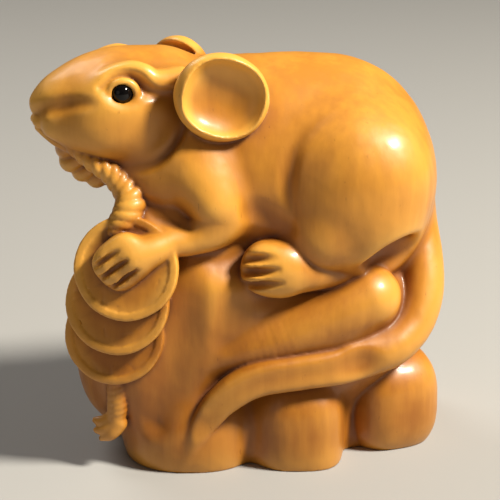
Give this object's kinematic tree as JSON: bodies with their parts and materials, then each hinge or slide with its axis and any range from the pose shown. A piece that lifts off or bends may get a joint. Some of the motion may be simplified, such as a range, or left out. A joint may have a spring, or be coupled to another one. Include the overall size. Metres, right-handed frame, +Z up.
{
  "type": "netsuke",
  "caption": "Carved boxwood toggle: a rat crouching on a full sack, one paw on a string of pierced coins; flat base with a cord tunnel.",
  "frame": {"origin": "on the flat underside, in the middle of where the carving stands", "axes": "+Z up, -X the way the rat looks, -Y the side with the coins and the near paw"},
  "size_m": [0.0432, 0.0277, 0.044],
  "materials": {
    "boxwood": "polished boxwood, stained darker in the hollows",
    "bead": "polished black horn"
  },
  "bodies": {
    "root": {"carving": "boxwood", "left_eye": "bead", "right_eye": "bead"}
  },
  "joints": []
}
